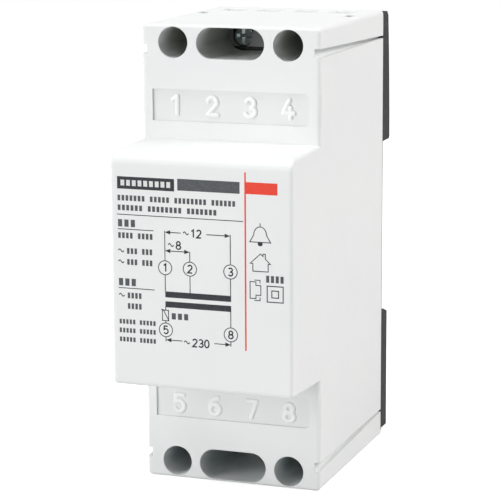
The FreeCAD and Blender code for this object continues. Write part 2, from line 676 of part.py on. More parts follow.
def save_terminals():
    for end, row in ((1, UPPER_TERMINALS), (-1, LOWER_TERMINALS)):
        for number, place in row.items():
            x = TERMINAL_X[place]
            save("terminal_screw_%d" % number, terminal_screw(x, end * TERMINAL_Z))
            save("terminal_cage_%d" % number, terminal_cage(x, end * TERMINAL_Z))
            save("contact_bar_%d" % number, contact_bar(x, end))


# Transformer

def core_e_stack():
    """Lower yoke with three legs; the middle leg carries the bobbin."""
    half_x = STACK / 2
    top = LEG_LENGTH / 2
    core = box(-half_x, half_x, CORE_FRONT_Y, CORE_REAR_Y, -CORE_HALF_Z, top)
    for front in (CORE_FRONT_Y + LEG, CORE_MID_Y + LEG):
        core = core.cut(box(-half_x, half_x, front, front + LEG, -top, top))
    return core


def core_i_stack():
    half_x = STACK / 2
    return box(-half_x, half_x, CORE_FRONT_Y, CORE_REAR_Y, LEG_LENGTH / 2, CORE_HALF_Z)


def tube_half_sizes(extra):
    """Half sizes in X and Y of the tube round the middle leg, grown by an extra thickness."""
    return STACK / 2 + BOBBIN_PLAY + extra, LEG + BOBBIN_PLAY + extra


def plate_about_leg(half_x, half_y, z0, z1):
    return box(-half_x, half_x, CORE_MID_Y - half_y, CORE_MID_Y + half_y, z0, z1)


def bobbin():
    """Tube with two end flanges and a divider between primary and secondary."""
    tube_x, tube_y = tube_half_sizes(BOBBIN_T)
    bore_x, bore_y = tube_half_sizes(0)
    form = plate_about_leg(tube_x, tube_y, -FLANGE_OUT_Z, FLANGE_OUT_Z)
    flange = plate_about_leg(FLANGE_HALF_X, FLANGE_HALF_Y, FLANGE_OUT_Z - BOBBIN_FLANGE_T, FLANGE_OUT_Z)
    divider = plate_about_leg(FLANGE_HALF_X, FLANGE_HALF_Y, -DIVIDER_T / 2, DIVIDER_T / 2)
    form = form.fuse([both_ends(flange), divider])
    rear_y = CORE_MID_Y + FLANGE_HALF_Y + OVERCUT
    notch_y = LEAD_Y - NOTCH_FRONT_PLAY
    notches = []
    for x, end in ((-LEAD_OUT_X, 1), (TAP_LEAD_X, 1), (LEAD_OUT_X, 1), (-LEAD_OUT_X, -1), (LEAD_OUT_X, -1)):
        z0, z1 = sorted((end * (FLANGE_OUT_Z - BOBBIN_FLANGE_T), end * FLANGE_OUT_Z))
        notches.append(box(x - NOTCH_W / 2, x + NOTCH_W / 2, notch_y, rear_y, z0, z1))
    return form.cut([plate_about_leg(bore_x, bore_y, -CORE_HALF_Z, CORE_HALF_Z)] + notches)


def chamber():
    """Height range of the upper winding chamber, less the play to its walls."""
    return DIVIDER_T / 2 + WINDING_PLAY, FLANGE_OUT_Z - BOBBIN_FLANGE_T - WINDING_PLAY


def ring_about_leg(inner_x, inner_y, outer_x, outer_y, z0, z1, radius, inner_r):
    mid = CORE_MID_Y
    outer = rounded_prism(-outer_x, outer_x, mid - outer_y, mid + outer_y, z0, z1, radius)
    return outer.cut(rounded_prism(-inner_x, inner_x, mid - inner_y, mid + inner_y, z0, z1, inner_r))


def coil(end):
    """Wound copper of one chamber; end is +1 for the secondary, -1 for the primary."""
    z0, z1 = sorted(end * z for z in chamber())
    inner_x, inner_y = tube_half_sizes(BOBBIN_T + WINDING_PLAY)
    return ring_about_leg(inner_x, inner_y, WINDING_HALF_X, WINDING_HALF_Y, z0, z1, WINDING_R, WINDING_PLAY)


def tape(end):
    z0, z1 = sorted(end * z for z in chamber())
    inner_x = WINDING_HALF_X + TAPE_PLAY
    inner_y = WINDING_HALF_Y + TAPE_PLAY
    inner_r = WINDING_R + TAPE_PLAY
    outer_x = inner_x + TAPE_T
    outer_y = inner_y + TAPE_T
    return ring_about_leg(inner_x, inner_y, outer_x, outer_y, z0, z1, inner_r + TAPE_T, inner_r)


def lead(points, radius):
    """Round wire through the given points, with mitred bends."""
    section = Part.Wire(Part.makeCircle(radius, points[0], points[1] - points[0]))
    return Part.makePolygon(points).makePipeShell([section], True, False, 1)


def lead_to_bar(number, place, root_x, end, radius):
    """Winding end that leaves its chamber through a flange notch and meets the tail of a contact bar."""
    height = end * (BAR_IN_Z + LEAD_FIRST + LEAD_LEVELS[number] * LEAD_STEP)
    touch_y = BAR_FRONT_Y - LEAD_GAP
    return lead([
        V(root_x, LEAD_Y, end * LEAD_ROOT_Z),
        V(root_x, LEAD_Y, height),
        V(TERMINAL_X[place], touch_y - LEAD_STRAIGHT, height),
        V(TERMINAL_X[place], touch_y, height),
    ], radius)


def secondary_winding():
    leads = [
        lead_to_bar(1, UPPER_TERMINALS[1], -LEAD_OUT_X, 1, SECONDARY_LEAD_R),
        lead_to_bar(2, UPPER_TERMINALS[2], TAP_LEAD_X, 1, SECONDARY_LEAD_R),
        lead_to_bar(3, UPPER_TERMINALS[3], LEAD_OUT_X, 1, SECONDARY_LEAD_R),
    ]
    return coil(1).fuse(leads)


def primary_winding():
    to_ptc = lead([
        V(-LEAD_OUT_X, LEAD_Y, -LEAD_ROOT_Z),
        V(-LEAD_OUT_X, LEAD_Y, PTC_JOINT_Z),
    ], PRIMARY_LEAD_R)
    to_bar = lead_to_bar(8, LOWER_TERMINALS[8], LEAD_OUT_X, -1, PRIMARY_LEAD_R)
    return coil(-1).fuse([to_ptc, to_bar])


def ptc_thermistor():
    """Disc with two wire ends, in series with terminal 5."""
    mid = V(-LEAD_OUT_X, PTC_Y, PTC_Z)
    disc = Part.makeCylinder(PTC_R, PTC_T, mid - V(PTC_T / 2, 0, 0), V(1, 0, 0))
    joint = V(-LEAD_OUT_X, LEAD_Y, PTC_JOINT_Z - LEAD_GAP)
    up = lead([joint, joint - V(0, 0, LEAD_STRAIGHT), mid], PTC_LEAD_R)
    bar_x = TERMINAL_X[LOWER_TERMINALS[5]]
    touch_y = BAR_FRONT_Y - LEAD_GAP
    out = lead([mid, V(bar_x, touch_y - LEAD_STRAIGHT, PTC_Z), V(bar_x, touch_y, PTC_Z)], PTC_LEAD_R)
    return disc.fuse([up, out])


os.makedirs("parts", exist_ok=True)
save("front_cover", front_cover())
save("rear_base", rear_base())
save("rail_latch", rail_latch())
save("latch_spring", latch_spring())
save("upper_terminal_block", terminal_block())
save("lower_terminal_block", flipped(terminal_block()))
save_terminals()
save("core_e_stack", core_e_stack())
save("core_i_stack", core_i_stack())
save("bobbin", bobbin())
save("primary_winding", primary_winding())
save("secondary_winding", secondary_winding())
save("primary_tape", tape(-1))
save("secondary_tape", tape(1))
save("ptc_thermistor", ptc_thermistor())
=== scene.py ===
import json
import math

import bmesh
import bpy
from mathutils import Matrix, Vector
from mathutils.bvhtree import BVHTree
from mathutils.geometry import tessellate_polygon


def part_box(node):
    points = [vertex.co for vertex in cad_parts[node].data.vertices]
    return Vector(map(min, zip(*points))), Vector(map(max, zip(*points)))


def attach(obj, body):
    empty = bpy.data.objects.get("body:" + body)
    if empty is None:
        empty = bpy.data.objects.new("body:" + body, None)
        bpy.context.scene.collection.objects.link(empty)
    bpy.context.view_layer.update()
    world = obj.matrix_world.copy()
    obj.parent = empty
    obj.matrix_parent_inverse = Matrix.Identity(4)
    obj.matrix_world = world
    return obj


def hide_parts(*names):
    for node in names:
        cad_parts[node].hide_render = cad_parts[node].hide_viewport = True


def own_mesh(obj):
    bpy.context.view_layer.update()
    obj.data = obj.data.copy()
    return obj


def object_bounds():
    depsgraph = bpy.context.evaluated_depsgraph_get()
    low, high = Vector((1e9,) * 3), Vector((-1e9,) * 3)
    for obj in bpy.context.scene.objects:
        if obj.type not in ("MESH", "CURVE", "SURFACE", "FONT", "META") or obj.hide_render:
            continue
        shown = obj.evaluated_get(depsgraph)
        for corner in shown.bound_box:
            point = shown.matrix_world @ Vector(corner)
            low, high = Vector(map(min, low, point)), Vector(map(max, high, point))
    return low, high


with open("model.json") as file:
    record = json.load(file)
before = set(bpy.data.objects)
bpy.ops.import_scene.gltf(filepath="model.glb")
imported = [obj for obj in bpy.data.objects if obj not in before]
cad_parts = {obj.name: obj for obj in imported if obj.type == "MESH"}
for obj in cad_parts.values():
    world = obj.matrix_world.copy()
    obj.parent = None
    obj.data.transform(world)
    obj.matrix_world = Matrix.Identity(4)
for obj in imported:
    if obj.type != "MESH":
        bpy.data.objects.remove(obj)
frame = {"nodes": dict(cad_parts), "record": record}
cad_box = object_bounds()
nodes = frame["nodes"]

MM = 0.001

# Places on the cover that the added pieces sit on, and the thickness of ink, in millimetres
NOSE_Y = -60.5
PANEL_FLOOR_Y = -43.65
INK_T = 0.012

# Limits of the places that get painted shade or a painted tint of reflected light, in metres, and how
# softly they fade
FADE = 0.0002
PANEL_Z = (0.0262, 0.0327)
PANEL_Y = (-0.0439, -0.0430)
TUNNEL_X = (-0.001, 0.0165)
TUNNEL_Y = (-0.0436, -0.018)
TUNNEL_Y_FADE = 0.006
TUNNEL_ROW_Z = (0.0375, 0.0448)
TUNNEL_MID_Z = 0.04155
TUNNEL_WALL = (-0.0030, 0.01)
TUNNEL_WALL_FADE = 0.0022
LOWER_HALF_Z = (-0.05, 0.0)
WELL_START = 0.0001
WELL_END_Y = 0.01

# Painted shade and painted tint of reflected light, by place
# Painted shade: the recessed floors of the number panels are darkened a little
PANEL_SHADE_TINT = (0.945, 0.95, 0.945)
# Painted shade on the tunnels' walls, stronger deeper inside
TUNNEL_SHADE_TINT = (0.585, 0.60, 0.565)
# Painted light: a cool tint of light reflected into the lower tunnels
LOWER_TUNNEL_REFLECTED_LIGHT_TINT = (0.94, 1.02, 1.10)
# Painted shade inside the screw wells and the slot of the terminal blocks
WELL_SHADE_TINT = (0.10, 0.11, 0.11)


# Materials

def new_material(name):
    """Material with its node tree, its shader and the object's own coordinates."""
    material = bpy.data.materials.new(name)
    material.use_nodes = True
    tree = material.node_tree
    shader = tree.nodes["Principled BSDF"]
    coords = tree.nodes.new("ShaderNodeTexCoord")
    return material, tree, shader, coords.outputs["Object"]


def noise(tree, coords, scale, detail=2.0, stretch=None):
    """Noise texture with its features at 1/scale metres, stretched along the axes where asked."""
    if stretch:
        mapping = tree.nodes.new("ShaderNodeMapping")
        mapping.inputs["Scale"].default_value = stretch
        tree.links.new(coords, mapping.inputs["Vector"])
        coords = mapping.outputs["Vector"]
    texture = tree.nodes.new("ShaderNodeTexNoise")
    texture.inputs["Scale"].default_value = scale
    texture.inputs["Detail"].default_value = detail
    tree.links.new(coords, texture.inputs["Vector"])
    return texture.outputs["Fac"]


def bands(tree, coords, pitch, axis, distortion=0.0):
    """Regular ridges across one axis, one ridge each pitch in metres."""
    texture = tree.nodes.new("ShaderNodeTexWave")
    texture.bands_direction = axis
    texture.inputs["Scale"].default_value = 2 * math.pi / (20 * pitch)
    texture.inputs["Distortion"].default_value = distortion
    texture.inputs["Detail"].default_value = 1.0
    tree.links.new(coords, texture.inputs["Vector"])
    return texture.outputs["Fac"]


def ramp(tree, factor, dark, light, low=0.3, high=0.7):
    """Colour between dark and light, by a factor."""
    node = tree.nodes.new("ShaderNodeValToRGB")
    node.color_ramp.elements[0].position = low
    node.color_ramp.elements[0].color = (*dark, 1)
    node.color_ramp.elements[1].position = high
    node.color_ramp.elements[1].color = (*light, 1)
    tree.links.new(factor, node.inputs["Fac"])
    return node.outputs["Color"]


def spread(tree, factor, low, high):
    """Value between low and high, by the middle half of a factor."""
    node = tree.nodes.new("ShaderNodeMapRange")
    node.inputs["From Min"].default_value = 0.25
    node.inputs["From Max"].default_value = 0.75
    node.inputs["To Min"].default_value = low
    node.inputs["To Max"].default_value = high
    tree.links.new(factor, node.inputs["Value"])
    return node.outputs["Result"]


def bump(tree, shader, height, depth, edge_radius=0.0):
    """Fine relief of a given depth on the shader's normal, with softened edges where asked."""
    node = tree.nodes.new("ShaderNodeBump")
    node.inputs["Distance"].default_value = depth
    node.inputs["Strength"].default_value = 1.0
    tree.links.new(height, node.inputs["Height"])
    if edge_radius:
        edge = tree.nodes.new("ShaderNodeBevel")
        edge.samples = 6
        edge.inputs["Radius"].default_value = edge_radius
        tree.links.new(edge.outputs["Normal"], node.inputs["Normal"])
    tree.links.new(node.outputs["Normal"], shader.inputs["Normal"])


def moulded(name, dark, light, rough, grain, depth, edge_radius=0.0, shine=0.4):
    """Moulded plastic: slight tone drift, a fine eroded grain and an uneven gloss."""
    material, tree, shader, coords = new_material(name)
    tree.links.new(ramp(tree, noise(tree, coords, 55), dark, light), shader.inputs["Base Color"])
    tree.links.new(spread(tree, noise(tree, coords, 900), rough[0], rough[1]), shader.inputs["Roughness"])
    bump(tree, shader, noise(tree, coords, grain, 3.0), depth, edge_radius)
    shader.inputs["Specular IOR Level"].default_value = shine
    return material


def absolute(tree, value):
    """The value without its sign."""
    node = tree.nodes.new("ShaderNodeMath")
    node.operation = "ABSOLUTE"
    tree.links.new(value, node.inputs[0])
    return node.outputs[0]


def between(tree, value, low, high, soft=FADE):
    """One where the value lies between the two limits, zero outside them."""
    rise = tree.nodes.new("ShaderNodeMapRange")
    rise.inputs["From Min"].default_value = low
    rise.inputs["From Max"].default_value = low + soft
    fall = tree.nodes.new("ShaderNodeMapRange")
    fall.inputs["From Min"].default_value = high
    fall.inputs["From Max"].default_value = high - soft
    tree.links.new(value, rise.inputs["Value"])
    tree.links.new(value, fall.inputs["Value"])
    return product(tree, rise.outputs["Result"], fall.outputs["Result"])


def product(tree, first, second):
    """The two values multiplied."""
    node = tree.nodes.new("ShaderNodeMath")
    node.operation = "MULTIPLY"
    tree.links.new(first, node.inputs[0])
    tree.links.new(second, node.inputs[1])
    return node.outputs[0]


def toned(tree, colour, mask, tint):
    """The colour, multiplied by a tint where the mask is one."""
    node = tree.nodes.new("ShaderNodeMix")
    node.data_type = "RGBA"
    node.blend_type = "MULTIPLY"
    sockets = [s for s in node.inputs if s.type == "RGBA"]
    sockets[1].default_value = (*tint, 1)
    tree.links.new(colour, sockets[0])
    tree.links.new(mask, node.inputs["Factor"])
    return [s for s in node.outputs if s.type == "RGBA"][0]


def height_over(tree, z, centre):
    """Height over the middle of the upper or of the lower row, by the sign of z."""
    side = tree.nodes.new("ShaderNodeMath")
    side.operation = "SIGN"
    tree.links.new(z, side.inputs[0])
    offset = tree.nodes.new("ShaderNodeMath")
    offset.operation = "MULTIPLY_ADD"
    tree.links.new(side.outputs[0], offset.inputs[0])
    offset.inputs[1].default_value = -centre
    tree.links.new(z, offset.inputs[2])
    return offset.outputs[0]


def places(material):
    """Node tree, shader, present colour and coordinates of a moulded material."""
    tree = material.node_tree
    shader = tree.nodes["Principled BSDF"]
    plain = shader.inputs["Base Color"].links[0].from_socket
    place = tree.nodes.new("ShaderNodeSeparateXYZ")
    coords = next(n for n in tree.nodes if n.type == "TEX_COORD").outputs["Object"]
    tree.links.new(coords, place.inputs[0])
    return tree, shader, plain, place.outputs


def cover_plastic():
    """Light grey moulding, with painted shade on the floors of the number panels and on the tunnels'
    walls, and a painted cool tint of reflected light in the lower tunnels.
    """
    material = moulded("cover_plastic", (0.750, 0.760, 0.760), (0.775, 0.780, 0.775),
                       (0.42, 0.55), 5200, 0.000012, 0.00016)
    tree, shader, plain, place = places(material)
    across = absolute(tree, place["X"])
    height = absolute(tree, place["Z"])
    panel = product(tree, between(tree, height, *PANEL_Z), between(tree, place["Y"], *PANEL_Y))
    depth = between(tree, place["Y"], *TUNNEL_Y, TUNNEL_Y_FADE)
    inside = product(tree, between(tree, across, *TUNNEL_X), between(tree, height, *TUNNEL_ROW_Z))
    level = height_over(tree, place["Z"], TUNNEL_MID_Z)
    walls = between(tree, level, *TUNNEL_WALL, TUNNEL_WALL_FADE)
    tunnel_shade = product(tree, product(tree, depth, inside), walls)
    lower = between(tree, place["Z"], *LOWER_HALF_Z)
    # Painted shade on the recessed floors of the number panels
    colour = toned(tree, plain, panel, PANEL_SHADE_TINT)
    # Painted shade on the tunnels' walls, growing with depth
    colour = toned(tree, colour, tunnel_shade, TUNNEL_SHADE_TINT)
    # Painted cool tint of light reflected into the lower tunnels
    colour = toned(tree, colour, product(tree, tunnel_shade, lower), LOWER_TUNNEL_REFLECTED_LIGHT_TINT)
    tree.links.new(colour, shader.inputs["Base Color"])
    return material


def block_plastic():
    """Grey moulding, with painted shade inside the screw wells and the slot, which come out darker than
    its front face.
    """
    material = moulded("block_plastic", (0.25, 0.25, 0.245), (0.30, 0.30, 0.295),
                       (0.45, 0.6), 4200, 0.00002, 0.0001)
    tree, shader, plain, place = places(material)
    front_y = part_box("upper_terminal_block")[0][1]
    # Painted shade inside the screw wells and the slot, behind the block's front face
    well_shade = between(tree, place["Y"], front_y + WELL_START, WELL_END_Y)
    tree.links.new(toned(tree, plain, well_shade, WELL_SHADE_TINT), shader.inputs["Base Color"])
    return material


def plated(name, dark, light, rough, stretch, edge_radius=0.0, depth=0.000006):
    """Metal with fine drawing marks along one axis."""
    material, tree, shader, coords = new_material(name)
    marks = noise(tree, coords, 1500, 3.0, stretch)
    tree.links.new(ramp(tree, noise(tree, coords, 400), dark, light), shader.inputs["Base Color"])
    tree.links.new(spread(tree, marks, rough[0], rough[1]), shader.inputs["Roughness"])
    bump(tree, shader, marks, depth, edge_radius)
    shader.inputs["Metallic"].default_value = 1.0
    return material


def sheet_stack():
    """Edges of varnished sheets, half a millimetre each, along X."""
    material, tree, shader, coords = new_material("core_sheet")
    sheets = bands(tree, coords, 0.0005, "X")
    varnish = ramp(tree, noise(tree, coords, 700), (0.13, 0.135, 0.15), (0.24, 0.24, 0.25))
    tree.links.new(varnish, shader.inputs["Base Color"])
    tree.links.new(spread(tree, sheets, 0.35, 0.6), shader.inputs["Roughness"])
    bump(tree, shader, sheets, 0.00005)
    shader.inputs["Metallic"].default_value = 0.8
    return material


def wound_copper():
    """Enamelled turns lying side by side along Z."""
    material, tree, shader, coords = new_material("copper_wire")
    turns = bands(tree, coords, 0.0006, "Z", 0.4)
    enamel = ramp(tree, turns, (0.22, 0.07, 0.025), (0.62, 0.26, 0.11), 0.1, 0.8)
    tree.links.new(enamel, shader.inputs["Base Color"])
    tree.links.new(spread(tree, noise(tree, coords, 900), 0.22, 0.4), shader.inputs["Roughness"])
    bump(tree, shader, turns, 0.00012)
    shader.inputs["Metallic"].default_value = 0.85
    shader.inputs["Coat Weight"].default_value = 0.3
    return material


def film_tape():
    """Thin yellow film with faint wrap lines."""
    material, tree, shader, coords = new_material("tape")
    wraps = noise(tree, coords, 260, 2.0, (1, 1, 6))
    tree.links.new(ramp(tree, wraps, (0.55, 0.40, 0.06), (0.72, 0.56, 0.12)), shader.inputs["Base Color"])
    tree.links.new(spread(tree, wraps, 0.18, 0.35), shader.inputs["Roughness"])
    bump(tree, shader, wraps, 0.00003)
    return material


def printed(name, dark, light):
    """Screen-printed ink: nearly even, a little thinner in places."""
    material, tree, shader, coords = new_material(name)
    tone = ramp(tree, noise(tree, coords, 2500, 3.0), dark, light, 0.35, 0.65)
    tree.links.new(tone, shader.inputs["Base Color"])
    tree.links.new(spread(tree, noise(tree, coords, 1800), 0.42, 0.58), shader.inputs["Roughness"])
    shader.inputs["Specular IOR Level"].default_value = 0.15
    return material


MATERIALS = {
    "cover_plastic": cover_plastic(),
    "base_plastic": moulded("base_plastic", (0.030, 0.030, 0.033), (0.040, 0.040, 0.043),
                            (0.5, 0.65), 4200, 0.00002, 0.00016, 0.06),
    "block_plastic": block_plastic(),
    "bobbin_plastic": moulded("bobbin_plastic", (0.70, 0.68, 0.62), (0.76, 0.74, 0.69),
                              (0.4, 0.55), 4200, 0.000015),
    "zinc_steel": plated("zinc_steel", (0.32, 0.36, 0.365), (0.42, 0.45, 0.455),
                         (0.05, 0.10), (1, 1, 6), 0.00006, 0.0000005),
    "spring_steel": plated("spring_steel", (0.42, 0.42, 0.42), (0.56, 0.56, 0.56),
                           (0.25, 0.4), (6, 1, 1)),
    "tinned_brass": plated("tinned_brass", (0.66, 0.60, 0.44), (0.76, 0.70, 0.55),
                           (0.22, 0.36), (6, 1, 1)),
    "core_sheet": sheet_stack(),
    "copper_wire": wound_copper(),
    "tape": film_tape(),
    "ptc_body": moulded("ptc_body", (0.42, 0.20, 0.07), (0.52, 0.27, 0.10),
                        (0.2, 0.32), 1500, 0.00003),
}
# Painted light: the raised digits, part of the cover's moulding, are made a shade lighter than it, as if
# they caught more light
PAINTED_LIGHT_DIGIT_PLASTIC = moulded("digit_plastic_painted_light", (0.79, 0.80, 0.80), (0.81, 0.82, 0.815),
                        (0.35, 0.45), 5200, 0.000006)
INK = printed("black_ink", (0.028, 0.031, 0.036), (0.040, 0.044, 0.050))
GREY_INK = printed("grey_ink", (0.075, 0.080, 0.086), (0.100, 0.105, 0.112))
PALE_INK = printed("pale_ink", (0.66, 0.67, 0.67), (0.72, 0.73, 0.73))
RED_INK = printed("red_ink", (0.74, 0.060, 0.034), (0.80, 0.072, 0.044))

for subpart in frame["record"]["subparts"]:
    node = nodes[subpart["node"]]
    node.data.materials.clear()
    node.data.materials.append(MATERIALS[subpart["material_slot"]])


# Flat shapes, as lists of closed (x, z) outlines in millimetres

def rectangle(x0, x1, z0, z1):
    """Outline of a rectangle between two places across and two heights."""
    return [(x0, z0), (x1, z0), (x1, z1), (x0, z1)]


def stroke(points, width, closed=False):
    """Quads along a path, mitred at its bends."""
    count = len(points)
    rails = []
    for i in range(count):
        before = points[i - 1] if i or closed else points[i]
        after = points[(i + 1) % count] if i < count - 1 or closed else points[i]
        a = Vector(points[i]) - Vector(before)
        b = Vector(after) - Vector(points[i])
        a = a.normalized() if a.length else b.normalized()
        b = b.normalized() if b.length else a
        normal = Vector((-a.y - b.y, a.x + b.x)).normalized()
        reach = width / 2 / max(0.4, normal.dot(Vector((-a.y, a.x))))
        rails.append((Vector(points[i]) + normal * reach, Vector(points[i]) - normal * reach))
    last = count if closed else count - 1
    quads = []
    for i in range(last):
        j = (i + 1) % count
        quads.append([rails[i][0], rails[i][1], rails[j][1], rails[j][0]])
    return quads


def arc(x, z, rx, rz, start, stop, steps):
    """Points along an ellipse, from one angle in degrees to another."""
    out = []
    for i in range(steps + 1):
        angle = math.radians(start + (stop - start) * i / steps)
        out.append((x + rx * math.cos(angle), z + rz * math.sin(angle)))
    return out


def arrow(tip_x, z, way, length=1.1, half=0.42):
    """Solid arrowhead with its tip at tip_x, pointing along way."""
    return [(tip_x, z), (tip_x - way * length, z + half), (tip_x - way * length, z - half)]


# Plain digits of one stroke, centred, in units of half the height

DIGITS = {
    0: [arc(0, 0, 0.58, 1.0, 90, 450, 24)],
    1: [[(-0.38, 0.58), (0.16, 1.0), (0.16, -1.0)]],
    2: [arc(0, 0.44, 0.56, 0.56, 165, -28, 12) + [(-0.58, -1.0), (0.62, -1.0)]],
    3: [arc(0, 0.50, 0.52, 0.50, 150, -80, 12) + arc(0, -0.48, 0.60, 0.52, 80, -155, 14)],
    4: [[(0.10, 1.0), (-0.62, -0.42), (0.62, -0.42)], [(0.22, 0.18), (0.22, -1.0)]],
    5: [[(0.52, 1.0), (-0.42, 1.0), (-0.50, 0.10)] + arc(0, -0.36, 0.60, 0.64, 125, -150, 14)],
    6: [[(0.40, 0.98)] + arc(0.02, -0.2, 0.62, 1.02, 108, 180, 6)
        + arc(0.02, -0.40, 0.60, 0.60, 180, 540, 20)],
    7: [[(-0.58, 1.0), (0.60, 1.0), (-0.10, -1.0)]],
    8: [arc(0, 0.50, 0.48, 0.50, -90, 270, 18), arc(0, -0.48, 0.60, 0.52, 90, 450, 20)],
}


def digit_paths(digit, x, z, half_height):
    """Strokes of a digit, centred at a place."""
    return [[(x + px * half_height, z + pz * half_height) for px, pz in path] for path in DIGITS[digit]]


# Print on the front of the nose

RAY_START = 10
cover = nodes["front_cover"]
cover_tree = BVHTree.FromPolygons(
    [v.co for v in cover.data.vertices], [tuple(p.vertices) for p in cover.data.polygons])


def on_nose(x, z):
    """Where the nose's front lies along Y, in metres, for a place in its plane."""
    start = Vector((x * MM, (NOSE_Y - RAY_START) * MM, z * MM))
    return cover_tree.ray_cast(start, Vector((0, 1, 0)))[0].y


def print_piece(name, outlines, material, layer=1):
    """One thin layer of ink from all the outlines, laid on the nose or on the layers below."""
    points = []
    faces = []
    for outline in outlines:
        start = len(points)
        points += [(x, z) for x, z in outline]
        for tri in tessellate_polygon([[Vector((x, z, 0)) for x, z in outline]]):
            faces.append(tuple(start + i for i in tri))
    front = [(x * MM, on_nose(x, z) - layer * INK_T * MM, z * MM) for x, z in points]
    mesh = bpy.data.meshes.new(name)
    mesh.from_pydata(front, [], faces)
    mesh.update()
    for polygon in mesh.polygons:
        if polygon.normal.y > 0:
            polygon.flip()
    mesh.update()
    mesh.materials.append(material)
    piece = bpy.data.objects.new(name, mesh)
    bpy.context.scene.collection.objects.link(piece)
    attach(piece, "housing")


def word_fields(x0, x1, z, height, groups, share=0.66):
    """A line of equal plain fields, in groups of the given counts."""
    outlines = []
    slots = sum(groups) + len(groups) - 1
    pitch = (x1 - x0) / (slots - 1 + share)
    slot = 0
    for count in groups:
        for i in range(count):
            x = x0 + (slot + i) * pitch
            outlines.append(rectangle(x, x + share * pitch, z - height / 2, z + height / 2))
        slot += count + 1
    return outlines


# Widths of the print's strokes, and the places that several shapes share, in millimetres
RULE = 0.16
LINE = 0.17
BOLD_LINE = 0.2
DIGIT_STROKE = 0.27
DIGIT_HALF_HEIGHT = 0.72
DIGIT_PITCH = 1.2
LEFT = -16.55
INDENT = -14.8
RED_X = (8.72, 9.02)
RED_Z = (-13.7, 19.9)
RED_STEPS = 40

print_piece("print_field_black", [rectangle(-16.6, -5.13, 15.62, 17.95)], INK)
print_piece("print_field_grey", [rectangle(-4.5, 7.8, 15.85, 18.05)], GREY_INK)
print_piece("print_field_marks", word_fields(-15.9, -5.9, 16.78, 1.1, (9,)), PALE_INK, 2)

# The red line follows the nose's front in short steps
red_line = []
for i in range(RED_STEPS):
    low = RED_Z[0] + (RED_Z[1] - RED_Z[0]) * i / RED_STEPS
    high = RED_Z[0] + (RED_Z[1] - RED_Z[0]) * (i + 1) / RED_STEPS
    red_line.append(rectangle(*RED_X, low, high))
print_piece("print_red", red_line + [rectangle(RED_X[1], 15.14, 15.9, 18.1)], RED_INK)

# Left end, right end, height of the middle, height of the fields and the groups of each line
FIELD_LINES = (
    (LEFT, 6.9, 13.9, 1.05, (7, 5, 8, 6)),
    (LEFT, 3.2, 12.05, 1.05, (6, 8, 7)),
    (LEFT, -13.1, 9.1, 1.4, (3,)),
    (LEFT, -9.6, 6.75, 1.1, (4, 4)),
    (INDENT, -9.7, 3.8, 1.1, (3, 3)),
    (INDENT, -9.7, 1.7, 1.1, (3, 3)),
    (LEFT, -13.1, -2.2, 1.4, (3,)),
    (INDENT, -12.0, -4.75, 1.1, (4,)),
    (INDENT, -12.0, -6.8, 1.1, (4,)),
    (LEFT, -9.2, -9.85, 0.9, (5, 5)),
    (LEFT, -9.2, -11.55, 0.9, (5, 5)),
    (LEFT, -9.2, -13.3, 0.9, (5, 5)),
    (-5.9, -2.6, -8.15, 1.2, (3,)),
    (12.9, 16.3, 0.2, 1.3, (4,)),
)
fields = []
for field_line in FIELD_LINES:
    fields += word_fields(*field_line)
print_piece("print_text_blocks", fields, GREY_INK)


def sine(x, z, half_width=0.55, height=0.26):
    """Small wave, the sign for alternating current."""
    points = []
    for i in range(11):
        t = i / 10
        points.append((x - half_width + 2 * half_width * t, z + height * math.sin(2 * math.pi * t)))
    return stroke(points, BOLD_LINE)


def printed_digit(digit, x, z):
    """Strokes of one small printed digit."""
    outlines = []
    for path in digit_paths(digit, x, z, DIGIT_HALF_HEIGHT):
        outlines += stroke(path, DIGIT_STROKE)
    return outlines


# The circuit: three upright leads, the numbered rings on them, the core's two bars and the measure lines
C1, C2, C3 = -7.12, -2.15, 5.9
RING_R = 1.33
UPPER_RING_Z = 1.08
RING_5_Z = -10.88
RING_8_Z = -10.87
LEAD_TOP = 8.1
LEAD_END = -13.1
ARROW_GAP = 0.9
circles = {1: (C1, 1.05), 2: (C2, 1.1), 3: (C3, UPPER_RING_Z), 5: (C1, RING_5_Z), 8: (C3, RING_8_Z)}
lines = []
lines += stroke([(-16.75, 10.73), (8.44, 10.73)], RULE)
lines += stroke([(-16.6, 7.95), (-9.36, 7.95)], RULE)
lines += stroke([(-16.6, -3.36), (-9.3, -3.36)], RULE)
for x, top in ((C1, LEAD_TOP), (C2, 4.4), (C3, LEAD_TOP)):
    lines += stroke([(x, top), (x, UPPER_RING_Z + RING_R)], LINE)
    lines += stroke([(x, UPPER_RING_Z - RING_R), (x, -3.5)], LINE)
lines += stroke([(C1, -6.4), (C1, -7.1)], LINE)
lines += stroke([(C1, -9.1), (C1, RING_5_Z + RING_R)], LINE)
lines += stroke([(C1, RING_5_Z - RING_R), (C1, LEAD_END)], LINE)
lines += stroke([(C3, -6.4), (C3, RING_8_Z + RING_R)], LINE)
lines += stroke([(C3, RING_8_Z - RING_R), (C3, LEAD_END)], LINE)
for z, left, right in ((7.83, -3.9, 1.2), (-12.8, -3.8, 2.6)):
    lines += stroke([(C1 + ARROW_GAP, z), (left, z)], LINE)
    lines += stroke([(right, z), (C3 - ARROW_GAP, z)], LINE)
    lines += [arrow(C1, z, -1), arrow(C3, z, 1)]
lines += stroke([(C1 + ARROW_GAP, 4.3), (C2 - ARROW_GAP, 4.3)], LINE)
lines += [arrow(C1, 4.3, -1), arrow(C2, 4.3, 1)]
for x, z in circles.values():
    lines += stroke(arc(x, z, RING_R, RING_R, 0, 360, 32)[:-1], LINE, True)
for digit, (x, z) in circles.items():
    lines += printed_digit(digit, x, z)
lines += [rectangle(C1 - 0.04, 6.0, -4.6, -3.46), rectangle(C1 - 0.04, 6.0, -6.5, -5.36)]
